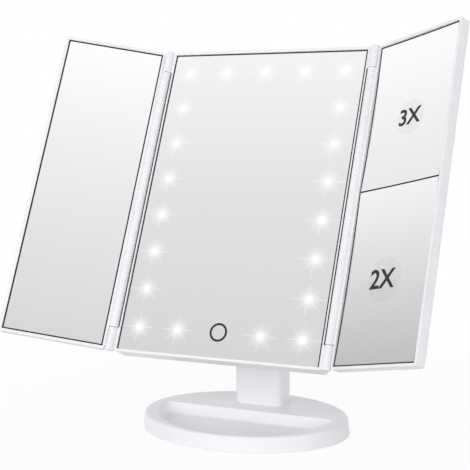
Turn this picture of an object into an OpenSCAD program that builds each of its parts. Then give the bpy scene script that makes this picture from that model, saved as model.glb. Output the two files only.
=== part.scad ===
// Trifold vanity mirror with lights: a centre mirror between two folding wings,
// on a column that stands on an oval base with a tray.
// Millimetres, +Z up, mirrors face -Y. The origin is on the table under the base's centre.

/* [Pose] */
// Lean of the centre panel back from upright, degrees
panel_lean = 25.85; // [0:0.05:45]
// Fold of the left wing forward from flat, degrees
left_fold = 24.5; // [0:0.5:150]
// Fold of the right wing forward from flat, degrees
right_fold = 29; // [0:0.5:150]

/* [Centre panel] */
// Width of the centre mirror glass
mirror_w = 159.5; // [145:0.5:175]
// Height of the centre mirror glass
mirror_h = 239; // [215:0.5:260]
// Thickness of every mirror glass at its edge
glass_t = 3; // [2.4:0.1:3.4]
// Clearance round a glass in its frame
glass_gap = 0.15; // [0.05:0.05:0.3]
// Adhesive tape between a glass and its ledge
tape_t = 0.4; // [0.2:0.1:0.6]
// Plastic beside a glass, next to a hinge
side_wall = 1.9; // [1.6:0.1:2.6]
// Plastic above and below the centre glass
end_wall = 2.15; // [1.8:0.05:3]
// How far a frame's face stands in front of its glass
face_lip = 0.8; // [0.4:0.1:1.2]
// Depth of the centre panel, face to back
panel_t = 15.5; // [14.5:0.5:18]
// Corner radius of the frames' outlines
corner_r = 2.5; // [1:0.5:4]
// Thickness of the ledge behind the centre glass
ledge_t = 1.8; // [1.4:0.1:2.2]
// Width of the ledge, from the glass's edge inwards
ledge_w = 24; // [22:0.5:30]
// Depth of the centre panel's rear cover
back_depth = 5.2; // [4.5:0.1:6.5]
// Wall of the centre panel's rear cover
back_wall = 1.9; // [1.6:0.1:2.4]
// Chamfer round the rear covers
back_chamfer = 1.2; // [0.6:0.1:1.6]
// Distance of the end screws of the rear cover from the glass's ends
back_screw_inset = 14.3; // [12:0.1:20]
// Distance of the middle screws of the rear cover from mid-height
back_screw_mid = 36; // [25:1:45]
// Width of the tape strips behind the centre glass
tape_w = 6; // [4:0.5:8]
// Distance of the tape from a glass's edge
tape_inset = 2; // [1:0.1:3]
// Distance of the tape strips' ends from the centre glass's ends
tape_end = 15; // [12:1:30]

/* [Wings] */
// Depth of a wing, face to back
wing_t = 8.3; // [7.8:0.1:10]
// Plastic beside a wing's glass, on its outer edge
wing_outer_wall = 2.65; // [2:0.05:3.5]
// Plastic above and below a wing's glass
wing_end_wall = 2.15; // [1.8:0.05:3]
// How much shorter a wing is than the centre panel, at each end
wing_setback = 0.6; // [0.2:0.1:2]
// Space between the two wings when both are folded shut
wing_meeting_gap = 1.9; // [1.2:0.1:4]
// Thickness of a wing's ledge behind its glass
wing_ledge_t = 1.2; // [1:0.1:1.4]
// Width of a wing's ledge
wing_ledge_w = 9; // [6:0.5:14]
// Depth of a wing's rear cover
wing_back_depth = 2.2; // [1.8:0.1:2.6]
// Plate thickness of a wing's rear cover
wing_back_wall = 1.6; // [1.2:0.1:1.7]
// Height of the split between the two magnifying mirrors, from mid-height
split_rise = 6.3; // [-30:0.1:30]
// Width of the tape behind a wing's glass
wing_tape_w = 4.5; // [3:0.1:5]
// Gap between the two magnifying mirrors
split_gap = 0.7; // [0.4:0.1:1.5]
// Dish radius of the stronger, upper mirror
strong_dish_r = 1500; // [1300:50:3000]
// Dish radius of the weaker, lower mirror
weak_dish_r = 2200; // [1600:50:4000]

/* [Wing hinges] */
// Radius of the hinge barrels
barrel_r = 3.3; // [3:0.1:3.8]
// Radius of the hinge pins
pin_r = 1; // [0.8:0.05:1.3]
// Running clearance of a pin in a wing's barrel
pin_play = 0.05; // [0.02:0.01:0.08]
// Clearance of a pin in its knuckle
pin_seat = 0.02; // [0.01:0.01:0.05]
// Length of a knuckle at each corner of the centre frame
knuckle_len = 17.5; // [14:0.5:24]
// Gap between a knuckle's end and the wing's barrel
knuckle_gap = 0.3; // [0.2:0.05:0.6]
// Gap between a barrel and the frame across from it
barrel_gap = 0.4; // [0.3:0.05:0.8]
// Gap between the frames' faces when a wing is folded shut
fold_gap = 0.4; // [0.3:0.1:1]
// Length of a pin inside the wing's barrel
pin_reach = 16; // [12:0.5:20]
// Depth of a pin's outer end inside its knuckle
pin_recess = 0.6; // [0.2:0.1:1.5]
// Rounding of the barrels' ends
barrel_edge = 0.8; // [0.3:0.1:1.2]
// Width of the soft strip beside each barrel
strip_w = 0.8; // [0.5:0.1:1]
// Thickness of the soft strips
strip_t = 0.3; // [0.2:0.05:0.5]

/* [Lights and touch switch] */
// Lights in each side column
lights_per_column = 8; // [4:1:10]
// Distance of the side columns from the glass's edge
light_side_inset = 15.05; // [14:0.05:17]
// Distance of the top row from the glass's edge
light_top_inset = 16.4; // [14:0.1:18]
// Distance of the bottom row from the glass's edge
light_bottom_inset = 17.7; // [14:0.1:18]
// Place of the two lights between the bottom corners, from the middle
light_bottom_offset = 32.9; // [25:0.1:45]
// Diameter of the etched windows in the glass
window_d = 4.4; // [3:0.1:6]
// Depth of the etched windows and of the touch ring
etch_t = 0.1; // [0.05:0.05:0.2]
// Diameter of the light holes in the ledge
light_hole_d = 7; // [6:0.5:9]
// Width of a light
light_w = 3.5; // [2.8:0.1:4]
// Height of a light on its board
light_t = 1; // [0.6:0.1:1.2]
// Width of the light boards
board_w = 8; // [6:0.5:9]
// Thickness of the circuit boards
board_t = 1.2; // [1:0.1:1.6]
// Outer diameter of the touch ring
ring_d = 13.7; // [10:0.1:16]
// Line width of the touch ring
ring_line = 1.4; // [0.6:0.1:2]
// Height of the touch ring's centre over the glass's lower edge
ring_inset = 18.3; // [14:0.1:19]
// Width of the touch board
touch_board_w = 19; // [16:0.5:24]
// Height of the touch board
touch_board_h = 17; // [12:0.5:18]
// Outer radius of the touch spring
touch_spring_r = 3; // [2:0.1:4]

/* [Tilt head] */
// Height of the tilt pivot over the centre glass's middle
pivot_rise = 11.2; // [0:0.1:20]
// Height of the tilt pivot over the base's deck
pivot_height = 157.7; // [150:0.1:185]
// Radius of the tilt axle
axle_r = 3; // [2:0.1:4]
// Running clearance of the axle in the column's head
axle_play = 0.05; // [0.02:0.01:0.1]
// Clearance of the axle in the bracket's lugs
axle_seat = 0.02; // [0.01:0.01:0.05]
// Thickness of the bracket's plate
bracket_t = 3; // [2.4:0.1:4]
// Width of the bracket's plate
bracket_w = 68; // [62:1:90]
// Height of the bracket's plate
bracket_h = 46; // [40:1:60]
// Thickness of each lug
lug_t = 5; // [4:0.5:7]
// Radius of the lugs' ends
lug_r = 9; // [7:0.5:11]
// Width and height of the flare at the lugs' roots
lug_flare = 7; // [4:0.5:9]
// Distance of the bracket's screws from its upper and lower edge
bracket_screw_inset = 7; // [6:0.5:9]
// Friction washers between the head and the lugs
washer_t = 0.5; // [0.4:0.1:1]
// Radius of the friction washers
washer_r = 7.5; // [6:0.5:9]
// Clearance of the head in its place between the washers
head_play = 0.05; // [0.02:0.01:0.1]
// Clearance between the column and the bracket's plate
head_clear = 1.3; // [0.8:0.1:3]

/* [Column] */
// Width of the column
column_w = 39; // [37:0.5:46]
// Depth of the column
column_d = 22; // [21:0.5:28]
// Distance of the column's centre behind the base's centre
column_y = 33.8; // [30:0.1:38]
// Radius of the column's upright edges
column_edge = 5; // [4:0.5:7]
// Wall of the column
column_wall = 2.2; // [1.8:0.1:2.4]
// Depth of the column's rear plate
rear_depth = 3.5; // [3:0.1:4]
// Thickness of the column's foot
foot_plate_t = 3; // [2.4:0.1:4]

/* [Battery bay] */
// Radius of a battery cell
cell_r = 5.25; // [5.2:0.05:5.3]
// Length of a battery cell with its contact
cell_len = 44.5; // [44:0.1:44.6]
// Clearance of a cell in its trough
cell_gap = 0.15; // [0.1:0.05:0.3]
// Wall between the two troughs
cell_web = 1; // [0.6:0.1:1.4]
// Length of a contact spring, pressed
spring_len = 5; // [4:0.5:6]
// Thickness of the contact plates
contact_t = 0.4; // [0.3:0.1:0.6]
// End walls of the battery holder
holder_wall = 1.2; // [1:0.1:1.4]
// Distance of the battery holder below the column's head
holder_drop = 13.15; // [11:0.05:16]
// Clearance round the battery cover
cover_gap = 0.15; // [0.1:0.05:0.3]
// Width of the rebate that the battery cover lies in
rebate_w = 2; // [1.5:0.1:2.5]
// Thickness of the battery cover
cover_t = 1.4; // [1.2:0.1:1.6]
// Wall of the rim that plugs the cover into its opening
rim_wall = 1.35; // [1:0.05:1.6]
// Width of the finger grooves in the battery cover
groove_w = 12; // [8:0.5:14]
// Spacing of the finger grooves
groove_step = 3; // [2.4:0.1:4]

/* [Charging socket] */
// Height of the charging board over the deck
port_height = 13.5; // [12:0.5:18]
// Width of the charging socket
port_w = 7.6; // [7:0.1:9]
// Height of the charging socket
port_h = 2.7; // [2.5:0.1:3.5]
// Depth of the charging socket
port_d = 6; // [5:0.1:7]
// Clearance round the charging socket in the column's rear plate
port_gap = 0.3; // [0.2:0.05:0.5]

/* [Base] */
// Width of the base
base_w = 161; // [150:1:180]
// Depth of the base
base_d = 122; // [116:1:140]
// Height of the base's deck over the table
base_h = 11.9; // [11:0.1:14]
// Rounding of the deck's edge
deck_edge = 2; // [1:0.1:2.4]
// Draft of the base's side, at the deck
base_draft = 1; // [0:0.1:1.5]
// Wall of the base
base_wall = 2.2; // [1.8:0.1:2.6]
// How far the anti-slip pad stands out below the base
pad_proud = 0.6; // [0.4:0.1:1.5]
// Thickness of the anti-slip pad
pad_t = 1; // [0.9:0.1:2]
// Distance of the pad's edge from the base's edge
pad_inset = 20; // [18:0.5:30]
// Thickness of the base's lower cover
lower_t = 1.6; // [1.4:0.1:2]
// Width of the rim at the tray's ends
rim_w = 9.5; // [8.5:0.1:16]
// Width of the rim in front of the tray
front_rim_w = 3.2; // [2.8:0.1:8]
// Place of the tray's rear wall, behind the base's centre
tray_back = 6.2; // [0:0.1:16]
// Corner radius of the tray
tray_corner = 5; // [2:0.5:8]
// Floor of the tray
tray_floor = 1.2; // [1:0.1:1.6]
// Slope of the tray's wall, in plan
tray_slope = 2.2; // [1:0.1:3]
// Wall of the tub under the tray
tub_wall = 1.6; // [1.2:0.1:2]
// Direction of the front screws of the base, seen from the tray's centre, degrees
front_screw_turn = 30; // [24:1:36]
// Distance of the middle screws of the base behind the tray
mid_screw_back = 13.8; // [10:0.1:16]
// Distance of the middle screws of the base from its sides
mid_screw_inset = 20; // [18:0.5:24]
// Distance of the rear screws of the base from its middle
rear_screw_x = 30; // [27:0.5:36]
// Distance of the rear screws of the base from its back
rear_screw_inset = 11; // [10:0.5:13]

/* [Screws] */
// Radius of the small screws
screw_r = 1.2; // [1:0.1:1.3]
// Radius of the large screws
big_screw_r = 1.4; // [1.2:0.1:1.5]
// Clearance of a screw in its pilot hole
screw_seat = 0.02; // [0.01:0.01:0.05]
// Clearance of a screw in the piece that it holds down
screw_gap = 0.15; // [0.1:0.05:0.3]

/* [Hidden] */
$fn = 48;
plastic = [0.92, 0.92, 0.95];
steel = [0.72, 0.73, 0.75];
silvered = [0.86, 0.89, 0.9];
cut = 1;             // overshoot of every cutting solid
weld = 0.5;          // overlap of solids that are joined
tip = 1;             // left uncut at the end of every pilot hole

// Depths in the centre panel, behind the front of its glass
face_y = -face_lip;
back_y = panel_t - face_lip;
ledge_y = glass_t + tape_t;
ledge_back_y = ledge_y + ledge_t;
split_y = back_y - back_depth;
cavity_back_y = back_y - back_wall;
ledge_corner = 5;
cavity_corner = 1;

// Outline of the centre panel and the place of the hinge axes in it
frame_w = mirror_w + 2 * (glass_gap + side_wall);
panel_h = mirror_h + 2 * (glass_gap + end_wall);
hinge_x = frame_w / 2 + barrel_gap + barrel_r;
hinge_y = face_y - fold_gap / 2;
barrel_half = panel_h / 2 - knuckle_len - knuckle_gap;

// A wing, measured out from its hinge axis and back from it
wing_in = barrel_r + barrel_gap;
wing_out = hinge_x - wing_meeting_gap / 2;
wing_face_y = fold_gap / 2;
wing_glass_y = wing_face_y + face_lip;
wing_ledge_y = wing_glass_y + glass_t + tape_t;
wing_back_y = wing_face_y + wing_t;
wing_split_y = wing_back_y - wing_back_depth;
wing_h = panel_h - 2 * wing_setback;
wing_pocket_in = wing_in + side_wall;
wing_pocket_out = wing_out - wing_outer_wall;
wing_glass_in = wing_pocket_in + glass_gap;
wing_glass_w = wing_pocket_out - wing_pocket_in - 2 * glass_gap;
wing_glass_h = wing_h - 2 * (wing_end_wall + glass_gap);
wing_mid = (wing_pocket_in + wing_pocket_out) / 2;

// Lights: two columns, three more along the top and two more along the bottom
light_x = mirror_w / 2 - light_side_inset;
light_top = mirror_h / 2 - light_top_inset;
light_bottom = light_bottom_inset - mirror_h / 2;
ring_z = ring_inset - mirror_h / 2;
light_step = (light_top - light_bottom) / (lights_per_column - 1);
board_gap = 0.5;
light_share = 0.8;   // height of a light over its width
spring_wire = 0.8;
spring_gap = 1;
light_places = concat(
    [for (side = [-1, 1], i = [0 : lights_per_column - 1]) [side * light_x, light_top - i * light_step]],
    [for (i = [-1 : 1]) [i * light_x / 2, light_top]],
    [for (side = [-1, 1]) [side * light_bottom_offset, light_bottom]]);

// Tilt head
pivot_depth = back_y + bracket_t + head_clear + column_d / 2;
pivot_z = base_h + pivot_height;
lug_x = column_w / 2 + head_play + washer_t;
axle_end = lug_x + lug_t;
bracket_screw_x = (bracket_w / 2 + axle_end) / 2;
bracket_screw_z = bracket_h / 2 - bracket_screw_inset;
bracket_corner = 4;
nut_t = 4;
nut_r = 1.8 * axle_r;
axle_head_t = 2;

// Screws: head radii, head heights and boss walls
head_r = 2.2 * screw_r;
head_t = 1;
big_head_r = 2.1 * big_screw_r;
big_head_t = 1.5;
boss_wall = 1.5;
boss_r = screw_r + boss_wall;
big_boss_r = big_screw_r + boss_wall;
back_screw_side = 2.5;
back_screw_x = mirror_w / 2 + glass_gap - boss_r - back_screw_side;
back_screw_end = mirror_h / 2 - back_screw_inset;
back_screw_z = [-back_screw_end, -back_screw_mid, back_screw_mid, back_screw_end];
panel_screw_len = 8;
bracket_screw_len = 9;
bracket_boss_depth = 5;

// Column: heights over the table, and places in plan from the column's centre
rear_y = column_d / 2 - rear_depth;
rear_inner_y = column_d / 2 - column_wall;
column_in_w = column_w - 2 * column_wall;
column_in_d = column_d - 2 * column_wall;
column_in_edge = column_edge - column_wall;
head_base_z = pivot_z - column_d / 2 - column_wall;
column_floor_z = base_h + foot_plate_t;
column_screw_side = 3;
column_screw_x = column_in_w / 2 - big_boss_r - column_screw_side;
column_screw_y = rear_y - big_boss_r - cover_gap;
column_boss_h = 7;
rear_screw_low = 8;
rear_screw_high = 4.5;
rear_screw_z = [base_h + rear_screw_low, head_base_z - rear_screw_high];
rear_screw_sink = head_t + 0.2;

// Battery bay
cell_x = cell_r + cell_gap + cell_web / 2;
cell_y = -column_in_d / 2 + holder_wall + cell_gap + cell_r;
nub_len = 1;
nub_r = 1.9;
contact_w = 1.4 * cell_r;
spring_foot_r = 3.6;
spring_tip_r = 2;
spring_bore_r = 1.2;
cell_play = 0.05;
cell_pitch = cell_len + cell_play;
bay_len = 2 * cell_pitch + spring_len + 2 * contact_t + cell_play;
holder_w = 4 * (cell_r + cell_gap) + cell_web + 2 * holder_wall;
holder_len = bay_len + 2 * holder_wall;
holder_z = head_base_z - holder_drop - holder_len;
bay_z = holder_z + holder_wall;
bay_top_z = bay_z + bay_len;
opening_w = holder_w - 1;
opening_h = holder_len;
cover_corner = 2;
groove_h = 1.4;
groove_t = 0.5;
groove_inset = 8;

// Charging socket
port_z = base_h + port_height;
port_board_side = 2;
port_board_w = column_in_w - 2 * port_board_side;
port_board_d = 12;
port_recess = 1.4;
port_front_y = column_d / 2 - port_recess;
port_floor = 1;
port_wall = 0.3;
port_corner = 0.8;
port_rail_w = 4;
port_rail_h = 3;

// Base: heights over the table
shell_z = pad_proud;
lower_top_z = shell_z + lower_t;
tray_floor_z = lower_top_z + tray_floor;
deck_under_z = base_h - base_wall;
rebate_play = 0.15;
tray_r = base_w / 2 - rim_w;
tray_centre = tray_r + front_rim_w - base_d / 2;
front_screw_side = 0.5;   // clear of the tub
front_screw_far = tray_r + tub_wall + boss_r + front_screw_side;
front_screw = [front_screw_far * cos(front_screw_turn),
    tray_centre - front_screw_far * sin(front_screw_turn)];
mid_screw = [base_w / 2 - mid_screw_inset, tray_back + mid_screw_back];
rear_screw = [rear_screw_x, base_d / 2 - rear_screw_inset];
base_screw_places = [for (sx = [-1, 1], p = [front_screw, mid_screw, rear_screw]) [sx * p[0], p[1]]];
oval_steps = 96;
dish_steps = 16;
dish_margin = 1.5;   // how far a dish's rim runs past the glass's corners

// ---- Frames of reference ----

// The centre panel's own frame: origin on the front of the glass, at its middle
module in_panel()
    translate([0, column_y, pivot_z])
        rotate([-panel_lean, 0, 0])
            translate([0, -pivot_depth, -pivot_rise])
                children();

// A wing's own frame: origin on the hinge axis at mid-height, X outwards
module in_wing(side, fold)
    in_panel()
        if (side > 0) on_hinge(fold) children();
        else mirror([1, 0, 0]) on_hinge(fold) children();

module on_hinge(fold)
    translate([hinge_x, hinge_y, 0])
        rotate([0, 0, -fold])
            children();

// The tilt pivot, in the centre panel's frame, with Z along the axle
module on_axle()
    translate([0, pivot_depth, pivot_rise])
        rotate([0, 90, 0])
            children();

// The column's frame: origin on the table, at the column's centre in plan
module in_column()
    translate([0, column_y, 0])
        children();

// ---- Shared shapes ----

// An outline drawn in X and Z, given depth from y0 back to y1
module slab(y0, y1)
    rotate([90, 0, 0])
        translate([0, 0, -y1])
            linear_extrude(y1 - y0)
                children();

// A round bar along Y from y0 back to y1, at [x, z]
module bar_y(x, z, r, y0, y1)
    translate([x, y0, z])
        rotate([-90, 0, 0])
            cylinder(r = r, h = y1 - y0);

module rounded(w, h, r) {
    square([w - 2 * r, h], center = true);
    square([w, h - 2 * r], center = true);
    for (x = [-1, 1], y = [-1, 1])
        translate([x * (w / 2 - r), y * (h / 2 - r)])
            circle(r);
}

// A rear cover's body: an outline with a chamfer at its back
module chamfered(w, h, y0, y1)
    hull() {
        slab(y0, y1 - back_chamfer) rounded(w, h, corner_r, $fn = 32);
        slab(y0, y1)
            rounded(w - 2 * back_chamfer, h - 2 * back_chamfer, corner_r, $fn = 32);
    }

// A barrel with rounded ends, along Z and centred
module barrel(r, h)
    rotate_extrude()
        for (z = [-1, 1]) {
            translate([r - barrel_edge, z * (h / 2 - barrel_edge)]) circle(barrel_edge, $fn = 32);
            translate([0, -h / 2]) square([r - barrel_edge, h]);
            translate([0, barrel_edge - h / 2]) square([r, h - 2 * barrel_edge]);
        }

// A pan-head screw that points along -Z, its head's underside at the origin
module screw(r, head_radius, head_height, len) {
    cylinder(r = head_radius, h = head_height);
    translate([0, 0, -len]) cylinder(r = r, h = len);
}

function oval(w, d) =
    [for (i = [0 : oval_steps - 1]) [w / 2 * cos(360 * i / oval_steps), d / 2 * sin(360 * i / oval_steps)]];

// Points along an arc, without its last one
function arc(x, y, r, a0, a1, steps) =
    [for (i = [0 : steps - 1]) let (a = a0 + (a1 - a0) * i / steps) [x + r * cos(a), y + r * sin(a)]];

// A solid through rings of points, each ring at its own height
module loft(rings, heights) {
    n = len(rings[0]);
    top = n * (len(rings) - 1);
    sides = [for (k = [0 : len(rings) - 2], i = [0 : n - 1]) let (a = n * k + i, b = n * k + (i + 1) % n)
        each [[a, a + n, b + n], [a, b + n, b]]];
    polyhedron(
        [for (k = [0 : len(rings) - 1], p = rings[k]) [p[0], p[1], heights[k]]],
        concat([[for (i = [0 : n - 1]) i]], [[for (i = [n - 1 : -1 : 0]) top + i]], sides));
}

// ---- Base ----

// The tray's plan, drawn in from the rim by inset: a circle cut straight across, corners rounded
function tray_plan(inset) =
    let (r = tray_r - inset, y = tray_back - inset - tray_corner)
    let (x = sqrt(pow(r - tray_corner, 2) - pow(y - tray_centre, 2)), a = atan2(y - tray_centre, x))
    concat(arc(0, tray_centre, r, -180 - a, a, 48), arc(x, y, tray_corner, a, 90, 6),
        [[x, y + tray_corner]], arc(-x, y, tray_corner, 90, 180 - a, 6));

// The deck's edge is rounded in quarter-circle steps
module base_outside() {
    angles = [0 : 22.5 : 90];
    loft(
        concat([oval(base_w, base_d)], [for (a = angles) let (inset = base_draft + deck_edge * (1 - cos(a)))
            oval(base_w - 2 * inset, base_d - 2 * inset)]),
        concat([shell_z], [for (a = angles) base_h - deck_edge * (1 - sin(a))]));
}

// The tray's walls slope in and curve into its floor; each step is a share of the height and of the slope
module tray_space() {
    steps = [[0, 1.6], [0.06, 1.32], [0.18, 1.12], [0.4, 0.95], [1, 0], [1.2, 0]];
    loft([for (s = steps) tray_plan(s[1] * tray_slope)],
        [for (s = steps) tray_floor_z + s[0] * (base_h - tray_floor_z)]);
}

module base_inside() {
    translate([0, 0, shell_z - cut])
        linear_extrude(lower_t + cut)
            polygon(oval(base_w - 2 * base_wall, base_d - 2 * base_wall));
    translate([0, 0, lower_top_z - 0.01])
        linear_extrude(deck_under_z - lower_top_z + 0.01)
            difference() {
                polygon(oval(base_w - 2 * (base_wall + base_draft), base_d - 2 * (base_wall + base_draft)));
                polygon(tray_plan(-tub_wall));
            }
}

module base_shell() color(plastic)
    difference() {
        union() {
            difference() {
                base_outside();
                base_inside();
            }
            for (p = base_screw_places)
                translate([p[0], p[1], lower_top_z])
                    cylinder(r = boss_r, h = deck_under_z - lower_top_z + weld);
        }
        tray_space();
        for (p = base_screw_places)
            translate([p[0], p[1], lower_top_z - cut])
                cylinder(r = screw_r + screw_seat, h = deck_under_z - lower_top_z - tip + cut);
        in_column()
            for (x = [-1, 1], y = [-1, 1])
                translate([x * column_screw_x, y * column_screw_y, deck_under_z - cut])
                    cylinder(r = big_screw_r + screw_gap, h = base_wall + 2 * cut);
    }

module base_lower_cover() color(plastic)
    difference() {
        translate([0, 0, shell_z])
            linear_extrude(lower_t)
                polygon(oval(base_w - 2 * (base_wall + rebate_play), base_d - 2 * (base_wall + rebate_play)));
        translate([0, 0, shell_z - cut])
            linear_extrude(pad_t - pad_proud + cut)
                polygon(oval(base_w - 2 * (pad_inset - rebate_play), base_d - 2 * (pad_inset - rebate_play)));
        for (p = base_screw_places)
            translate([p[0], p[1], shell_z - cut]) {
                cylinder(r = screw_r + screw_gap, h = lower_t + 2 * cut);
                cylinder(r = head_r + screw_gap, h = head_t + cut);
            }
    }

module base_pad() color([0.3, 0.3, 0.32])
    linear_extrude(pad_t)
        polygon(oval(base_w - 2 * pad_inset, base_d - 2 * pad_inset));

module base_screws() color(steel)
    for (p = base_screw_places)
        translate([p[0], p[1], shell_z + head_t])
            mirror([0, 0, 1])
                screw(screw_r, head_r, head_t, deck_under_z - shell_z - head_t - 1.5 * tip);

// ---- Column ----

module column_plan(d0, d1)
    intersection() {
        rounded(column_w, column_d, column_edge);
        translate([-column_w / 2, d0]) square([column_w, d1 - d0]);
    }

module column_front() color(plastic)
    in_column()
        difference() {
            union() {
                difference() {
                    // shaft below the pivot, round head about it
                    intersection() {
                        translate([0, 0, base_h])
                            linear_extrude(pivot_height + column_d)
                                rounded(column_w, column_d, column_edge);
                        union() {
                            translate([-column_w / 2, -column_d / 2, base_h])
                                cube([column_w, column_d, pivot_height]);
                            translate([-column_w / 2, 0, pivot_z])
                                rotate([0, 90, 0])
                                    cylinder(r = column_d / 2, h = column_w, $fn = 72);
                        }
                    }
                    translate([0, 0, column_floor_z])
                        linear_extrude(head_base_z - column_floor_z - column_wall)
                            rounded(column_in_w, column_in_d, column_in_edge);
                    translate([-column_w, rear_y, base_h - cut])
                        cube([2 * column_w, column_d, head_base_z - base_h + cut]);
                }
                // posts for the base's screws
                for (x = [-1, 1], y = [-1, 1])
                    translate([x * column_screw_x, y * column_screw_y, base_h])
                        cylinder(r = big_boss_r, h = foot_plate_t + column_boss_h);
                // posts for the rear plate's screws
                for (z = rear_screw_z)
                    bar_y(0, z, boss_r, -rear_inner_y - weld, rear_y);
                // rails under the charging board
                for (x = [-1, 1])
                    translate([x * (column_in_w + weld - port_rail_w) / 2, 0, port_z - port_rail_h / 2])
                        cube([port_rail_w + weld, port_board_d, port_rail_h], center = true);
            }
            for (x = [-1, 1], y = [-1, 1])
                translate([x * column_screw_x, y * column_screw_y, base_h - cut])
                    cylinder(r = big_screw_r + screw_seat, h = foot_plate_t + column_boss_h - tip + cut);
            for (z = rear_screw_z)
                bar_y(0, z, screw_r + screw_seat, rear_y - panel_screw_len, rear_y + cut);
            translate([-column_w / 2 - cut, 0, pivot_z])
                rotate([0, 90, 0])
                    cylinder(r = axle_r + axle_play, h = column_w + 2 * cut);
        }

module column_rear() color(plastic)
    in_column()
        difference() {
            translate([0, 0, base_h])
                linear_extrude(head_base_z - base_h - cover_gap)
                    column_plan(rear_y, column_d / 2);
            // hollow inside, with bosses left where the screws pass
            difference() {
                translate([-column_in_w / 2, rear_y - cut, column_floor_z])
                    cube([column_in_w, rear_inner_y - rear_y + cut,
                        head_base_z - column_floor_z - column_wall]);
                for (z = rear_screw_z)
                    bar_y(0, z, head_r + boss_wall, rear_y, column_d / 2);
            }
            translate([0, 0, holder_z + holder_len / 2]) {
                slab(rear_y - cut, column_d / 2 + cut) rounded(opening_w, opening_h, cover_corner);
                slab(column_d / 2 - cover_t, column_d / 2 + cut)
                    rounded(opening_w + 2 * rebate_w, opening_h + 2 * rebate_w, cover_corner);
            }
            translate([0, 0, port_z + board_t + port_h / 2])
                slab(rear_y - cut, column_d / 2 + cut)
                    rounded(port_w + 2 * port_gap, port_h + 2 * port_gap, port_corner + port_gap);
            for (z = rear_screw_z) {
                bar_y(0, z, screw_r + screw_gap, rear_y - cut, column_d / 2 + cut);
                bar_y(0, z, head_r + screw_gap, column_d / 2 - rear_screw_sink, column_d / 2 + cut);
            }
        }

module column_screws() color(steel)
    in_column()
        for (x = [-1, 1], y = [-1, 1])
            translate([x * column_screw_x, y * column_screw_y, deck_under_z])
                mirror([0, 0, 1])
                    screw(big_screw_r, big_head_r, big_head_t,
                        base_wall + foot_plate_t + column_boss_h - 2 * tip);

module column_rear_screws() color(steel)
    in_column()
        for (z = rear_screw_z)
            translate([0, column_d / 2 - rear_screw_sink, z])
                rotate([-90, 0, 0])
                    screw(screw_r, head_r, head_t, panel_screw_len);

module battery_cover() color(plastic)
    in_column()
        translate([0, 0, holder_z + holder_len / 2])
            difference() {
                union() {
                    slab(column_d / 2 - cover_t, column_d / 2)
                        rounded(opening_w + 2 * (rebate_w - cover_gap),
                            opening_h + 2 * (rebate_w - cover_gap), cover_corner);
                    // rim that plugs into the opening
                    slab(rear_y, column_d / 2 - cover_t)
                        difference() {
                            rounded(opening_w - 2 * cover_gap, opening_h - 2 * cover_gap, cover_corner);
                            square([opening_w, opening_h] - 2 * (cover_gap + rim_wall) * [1, 1],
                                center = true);
                        }
                }
                // finger grooves near the top
                for (i = [0 : 2])
                    translate([0, 0, opening_h / 2 - groove_inset - groove_step * i])
                        slab(column_d / 2 - groove_t, column_d / 2 + cut)
                            rounded(groove_w, groove_h, 0.45 * groove_h);
            }

module battery_holder() color([0.16, 0.16, 0.17])
    in_column()
        difference() {
            translate([-holder_w / 2, -column_in_d / 2, holder_z])
                cube([holder_w, cell_y + column_in_d / 2, holder_len]);
            for (x = [-1, 1])
                translate([x * cell_x, cell_y, bay_z])
                    cylinder(r = cell_r + cell_gap, h = bay_len);
        }

module cell() {
    cylinder(r = cell_r, h = cell_len - nub_len);
    cylinder(r = nub_r, h = cell_len);
}

module battery_cells() color([0.2, 0.42, 0.3])
    in_column() {
        for (i = [0, 1])
            translate([-cell_x, cell_y, bay_top_z - contact_t - (2 - i) * cell_pitch])
                cell();
        for (i = [0, 1])
            translate([cell_x, cell_y, bay_z + contact_t + (i + 1) * cell_pitch])
                mirror([0, 0, 1]) cell();
    }

// A cone spring, drawn as a hollow cone
module contact_spring()
    difference() {
        cylinder(r1 = spring_foot_r, r2 = spring_tip_r, h = spring_len);
        translate([0, 0, -cut]) cylinder(r = spring_bore_r, h = spring_len + 2 * cut);
    }

module battery_contacts() color(steel)
    in_column() {
        for (x = [-1, 1], z = [bay_z, bay_top_z - contact_t])
            translate([x * cell_x - contact_w / 2, cell_y - contact_w / 2, z])
                cube([contact_w, contact_w, contact_t]);
        translate([-cell_x, cell_y, bay_z + contact_t]) contact_spring();
        translate([cell_x, cell_y, bay_top_z - contact_t]) mirror([0, 0, 1]) contact_spring();
    }

module charging_board() color([0.12, 0.35, 0.22])
    in_column()
        translate([-port_board_w / 2, -port_board_d / 2, port_z])
            cube([port_board_w, port_board_d / 2 + rear_y, board_t]);

module charging_socket() color(steel)
    in_column()
        translate([0, 0, port_z + board_t + port_h / 2])
            difference() {
                slab(port_front_y - port_d, port_front_y) rounded(port_w, port_h, port_corner);
                slab(port_front_y - port_d + port_floor, port_front_y + cut)
                    rounded(port_w - 2 * port_wall, port_h - 2 * port_wall, port_corner - port_wall);
            }

// ---- Tilt head ----

module tilt_bracket() color(plastic)
    in_panel()
        difference() {
            union() {
                translate([0, 0, pivot_rise])
                    slab(back_y, back_y + bracket_t) rounded(bracket_w, bracket_h, bracket_corner);
                for (side = [-1, 1])
                    lug(side);
            }
            on_axle() cylinder(r = axle_r + axle_seat, h = 3 * axle_end, center = true);
            for (x = [-1, 1], z = [-1, 1])
                bar_y(x * bracket_screw_x, pivot_rise + z * bracket_screw_z, big_screw_r + screw_gap,
                    back_y - cut, back_y + bracket_t + cut);
        }

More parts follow.
